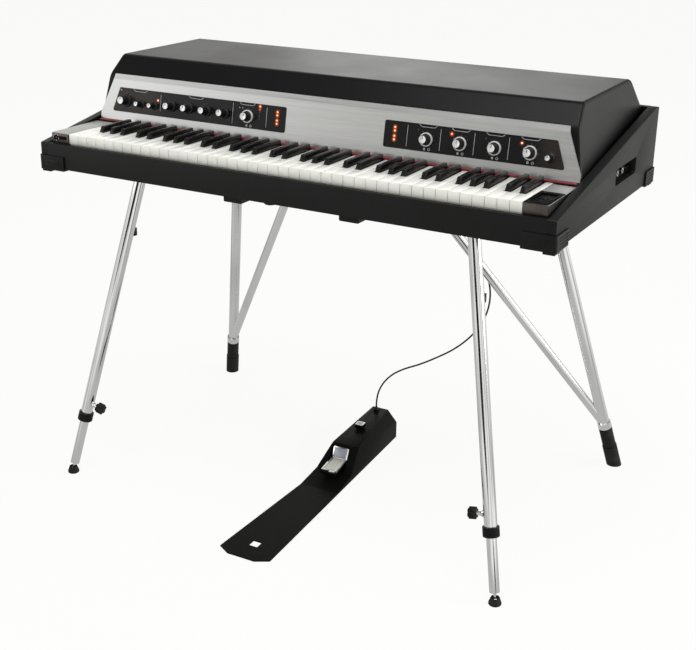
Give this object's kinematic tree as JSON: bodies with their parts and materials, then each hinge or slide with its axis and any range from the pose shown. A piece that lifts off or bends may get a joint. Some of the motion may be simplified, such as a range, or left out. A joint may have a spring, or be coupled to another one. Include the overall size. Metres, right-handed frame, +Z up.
{
  "type": "electric piano",
  "caption": "73-key stage electric piano with a silver control panel under a dark hood, on four splayed chrome legs, with a sustain pedal on its cable.",
  "frame": {"origin": "on the floor under the middle of the whole object, pedal included", "axes": "+Z up, +X to the player's right along the keyboard, the player's side faces -Y"},
  "size_m": [1.154, 0.7994, 0.9159],
  "materials": {
    "case_boards": "textured dark grey paint",
    "hood_plastic": "fine grained",
    "white_key": "gloss",
    "black_key": "satin",
    "brushed_aluminium": "brushed along its length",
    "fascia_black": "satin with pale line work",
    "knob_black": "satin with a bright cap",
    "cheek_silver": "satin silver",
    "red_felt": "felt",
    "chrome": "polished",
    "black_plastic": "moulded",
    "black_rubber": "moulded",
    "black_metal": "satin",
    "pedal_black": "satin powder coat",
    "cable_rubber": "smooth",
    "inner_wood": "planed",
    "hammer_plastic": "moulded",
    "harp_aluminium": "cast",
    "tone_steel": "plated",
    "circuit_board": "lacquered"
  },
  "bodies": {
    "case": {"bottom_board": "case_boards", "cable_glands": "black_plastic", "cheek_blocks": "cheek_silver", "control_boards": "circuit_board", "control_fascias": "fascia_black", "control_panel": "brushed_aluminium", "corner_protectors": "black_plastic", "felt_strip": "red_felt", "front_leg_tubes": "chrome", "front_rail": "case_boards", "hammer_action": "hammer_plastic", "harp_frame": "harp_aluminium", "hood": "hood_plastic", "jack_plate": "black_metal", "jack_sockets": "chrome", "key_frame": "inner_wood", "left_side_panel": "case_boards", "leg_fittings": "black_plastic", "pedal_base": "pedal_black", "pedal_cable": "cable_rubber", "pedal_cover": "pedal_black", "pickup_rail": "black_plastic", "rear_leg_tips": "black_rubber", "rear_legs": "chrome", "rear_panel": "case_boards", "right_side_panel": "case_boards", "tone_bars": "tone_steel"},
    "keys_c": {"keys_c": "white_key"},
    "keys_c_sharp": {"keys_c_sharp": "black_key"},
    "keys_d": {"keys_d": "white_key"},
    "keys_d_sharp": {"keys_d_sharp": "black_key"},
    "keys_e": {"keys_e": "white_key"},
    "keys_f": {"keys_f": "white_key"},
    "keys_f_sharp": {"keys_f_sharp": "black_key"},
    "keys_g": {"keys_g": "white_key"},
    "keys_g_sharp": {"keys_g_sharp": "black_key"},
    "keys_a": {"keys_a": "white_key"},
    "keys_a_sharp": {"keys_a_sharp": "black_key"},
    "keys_b": {"keys_b": "white_key"},
    "knob_volume": {"knob_volume": "knob_black"},
    "knob_low": {"knob_low": "knob_black"},
    "knob_high": {"knob_high": "knob_black"},
    "knob_band_1": {"knob_band_1": "knob_black"},
    "knob_band_2": {"knob_band_2": "knob_black"},
    "knob_band_3": {"knob_band_3": "knob_black"},
    "knob_band_4": {"knob_band_4": "knob_black"},
    "knob_drive": {"knob_drive": "knob_black"},
    "knob_effect_1": {"knob_effect_1": "knob_black"},
    "knob_effect_2": {"knob_effect_2": "knob_black"},
    "knob_effect_3": {"knob_effect_3": "knob_black"},
    "knob_effect_4": {"knob_effect_4": "knob_black"},
    "knob_feedback": {"knob_feedback": "knob_black"},
    "right_lower_leg": {"right_lower_leg": "chrome"},
    "right_levelling_foot": {"right_levelling_foot": "black_rubber"},
    "right_clamp_knob": {"right_clamp_knob": "black_plastic"},
    "left_lower_leg": {"left_lower_leg": "chrome"},
    "left_levelling_foot": {"left_levelling_foot": "black_rubber"},
    "left_clamp_knob": {"left_clamp_knob": "black_plastic"},
    "pedal_tread": {"pedal_tread": "chrome"},
    "pedal_button": {"pedal_button": "black_plastic"}
  },
  "joints": [
    {"name": "keys_c_dip", "type": "hinge", "parent": "case", "child": "keys_c", "pos_m": [0, 0.00687, 0.7507], "axis": [1, 0, 0], "range_deg": [0, 2.3], "stiffness_Nm_per_rad": 4, "springref_deg": -14.32},
    {"name": "keys_c_sharp_dip", "type": "hinge", "parent": "case", "child": "keys_c_sharp", "pos_m": [0, 0.00687, 0.7507], "axis": [1, 0, 0], "range_deg": [0, 2.3], "stiffness_Nm_per_rad": 4, "springref_deg": -14.32},
    {"name": "keys_d_dip", "type": "hinge", "parent": "case", "child": "keys_d", "pos_m": [0, 0.00687, 0.7507], "axis": [1, 0, 0], "range_deg": [0, 2.3], "stiffness_Nm_per_rad": 4, "springref_deg": -14.32},
    {"name": "keys_d_sharp_dip", "type": "hinge", "parent": "case", "child": "keys_d_sharp", "pos_m": [0, 0.00687, 0.7507], "axis": [1, 0, 0], "range_deg": [0, 2.3], "stiffness_Nm_per_rad": 4, "springref_deg": -14.32},
    {"name": "keys_e_dip", "type": "hinge", "parent": "case", "child": "keys_e", "pos_m": [0, 0.00687, 0.7507], "axis": [1, 0, 0], "range_deg": [0, 2.3], "stiffness_Nm_per_rad": 4, "springref_deg": -14.32},
    {"name": "keys_f_dip", "type": "hinge", "parent": "case", "child": "keys_f", "pos_m": [0, 0.00687, 0.7507], "axis": [1, 0, 0], "range_deg": [0, 2.3], "stiffness_Nm_per_rad": 4, "springref_deg": -14.32},
    {"name": "keys_f_sharp_dip", "type": "hinge", "parent": "case", "child": "keys_f_sharp", "pos_m": [0, 0.00687, 0.7507], "axis": [1, 0, 0], "range_deg": [0, 2.3], "stiffness_Nm_per_rad": 4, "springref_deg": -14.32},
    {"name": "keys_g_dip", "type": "hinge", "parent": "case", "child": "keys_g", "pos_m": [0, 0.00687, 0.7507], "axis": [1, 0, 0], "range_deg": [0, 2.3], "stiffness_Nm_per_rad": 4, "springref_deg": -14.32},
    {"name": "keys_g_sharp_dip", "type": "hinge", "parent": "case", "child": "keys_g_sharp", "pos_m": [0, 0.00687, 0.7507], "axis": [1, 0, 0], "range_deg": [0, 2.3], "stiffness_Nm_per_rad": 4, "springref_deg": -14.32},
    {"name": "keys_a_dip", "type": "hinge", "parent": "case", "child": "keys_a", "pos_m": [0, 0.00687, 0.7507], "axis": [1, 0, 0], "range_deg": [0, 2.3], "stiffness_Nm_per_rad": 4, "springref_deg": -14.32},
    {"name": "keys_a_sharp_dip", "type": "hinge", "parent": "case", "child": "keys_a_sharp", "pos_m": [0, 0.00687, 0.7507], "axis": [1, 0, 0], "range_deg": [0, 2.3], "stiffness_Nm_per_rad": 4, "springref_deg": -14.32},
    {"name": "keys_b_dip", "type": "hinge", "parent": "case", "child": "keys_b", "pos_m": [0, 0.00687, 0.7507], "axis": [1, 0, 0], "range_deg": [0, 2.3], "stiffness_Nm_per_rad": 4, "springref_deg": -14.32},
    {"name": "knob_volume_turn", "type": "hinge", "parent": "case", "child": "knob_volume", "pos_m": [-0.4825, -0.07604, 0.8227], "axis": [0, -0.9845, 0.1754], "range_deg": [-150, 150]},
    {"name": "knob_low_turn", "type": "hinge", "parent": "case", "child": "knob_low", "pos_m": [-0.44201, -0.0767, 0.81896], "axis": [0, -0.9845, 0.1754], "range_deg": [-150, 150]},
    {"name": "knob_high_turn", "type": "hinge", "parent": "case", "child": "knob_high", "pos_m": [-0.40681, -0.0767, 0.81896], "axis": [0, -0.9845, 0.1754], "range_deg": [-150, 150]},
    {"name": "knob_band_1_turn", "type": "hinge", "parent": "case", "child": "knob_band_1", "pos_m": [-0.3615, -0.07607, 0.82251], "axis": [0, -0.9845, 0.1754], "range_deg": [-150, 150]},
    {"name": "knob_band_2_turn", "type": "hinge", "parent": "case", "child": "knob_band_2", "pos_m": [-0.3157, -0.07607, 0.82251], "axis": [0, -0.9845, 0.1754], "range_deg": [-150, 150]},
    {"name": "knob_band_3_turn", "type": "hinge", "parent": "case", "child": "knob_band_3", "pos_m": [-0.2699, -0.07607, 0.82251], "axis": [0, -0.9845, 0.1754], "range_deg": [-150, 150]},
    {"name": "knob_band_4_turn", "type": "hinge", "parent": "case", "child": "knob_band_4", "pos_m": [-0.2241, -0.07607, 0.82251], "axis": [0, -0.9845, 0.1754], "range_deg": [-150, 150]},
    {"name": "knob_drive_turn", "type": "hinge", "parent": "case", "child": "knob_drive", "pos_m": [-0.16579, -0.07621, 0.82172], "axis": [0, -0.9845, 0.1754], "range_deg": [-150, 150]},
    {"name": "knob_effect_1_turn", "type": "hinge", "parent": "case", "child": "knob_effect_1", "pos_m": [0.242, -0.0763, 0.82123], "axis": [0, -0.9845, 0.1754], "range_deg": [-150, 150]},
    {"name": "knob_effect_2_turn", "type": "hinge", "parent": "case", "child": "knob_effect_2", "pos_m": [0.31201, -0.0763, 0.82123], "axis": [0, -0.9845, 0.1754], "range_deg": [-150, 150]},
    {"name": "knob_effect_3_turn", "type": "hinge", "parent": "case", "child": "knob_effect_3", "pos_m": [0.38202, -0.0763, 0.82123], "axis": [0, -0.9845, 0.1754], "range_deg": [-150, 150]},
    {"name": "knob_effect_4_turn", "type": "hinge", "parent": "case", "child": "knob_effect_4", "pos_m": [0.45202, -0.0763, 0.82123], "axis": [0, -0.9845, 0.1754], "range_deg": [-150, 150]},
    {"name": "knob_feedback_turn", "type": "hinge", "parent": "case", "child": "knob_feedback", "pos_m": [0.4923, -0.07709, 0.8168], "axis": [0, -0.9845, 0.1754], "range_deg": [-150, 150]},
    {"name": "right_leg_height", "type": "slide", "parent": "case", "child": "right_lower_leg", "axis": [0.1942, -0.1819, -0.964], "range_m": [-0.085, 0.08]},
    {"name": "right_foot_turn", "type": "hinge", "parent": "right_lower_leg", "child": "right_levelling_foot", "pos_m": [0.52089, -0.28972, 0.008], "axis": [0, 0, 1], "continuous": true},
    {"name": "right_clamp_turn", "type": "hinge", "parent": "case", "child": "right_clamp_knob", "pos_m": [0.46072, -0.26009, 0.165], "axis": [-0.981, -0.036, -0.1908], "continuous": true},
    {"name": "left_leg_height", "type": "slide", "parent": "case", "child": "left_lower_leg", "axis": [-0.1942, -0.1819, -0.964], "range_m": [-0.085, 0.08]},
    {"name": "left_foot_turn", "type": "hinge", "parent": "left_lower_leg", "child": "left_levelling_foot", "pos_m": [-0.52089, -0.28972, 0.008], "axis": [0, 0, 1], "continuous": true},
    {"name": "left_clamp_turn", "type": "hinge", "parent": "case", "child": "left_clamp_knob", "pos_m": [-0.46072, -0.26009, 0.165], "axis": [0.981, -0.036, -0.1908], "continuous": true},
    {"name": "pedal_press", "type": "hinge", "parent": "case", "child": "pedal_tread", "pos_m": [0.00523, 0.0748, 0.031], "axis": [0.9998, 0.0175, 0], "range_deg": [0, 4], "stiffness_Nm_per_rad": 15, "springref_deg": -5.73},
    {"name": "pedal_button_press", "type": "slide", "parent": "case", "child": "pedal_button", "axis": [0, 0, -1], "range_m": [0, 0.003], "stiffness_N_per_m": 800, "springref_m": -0.002}
  ]
}
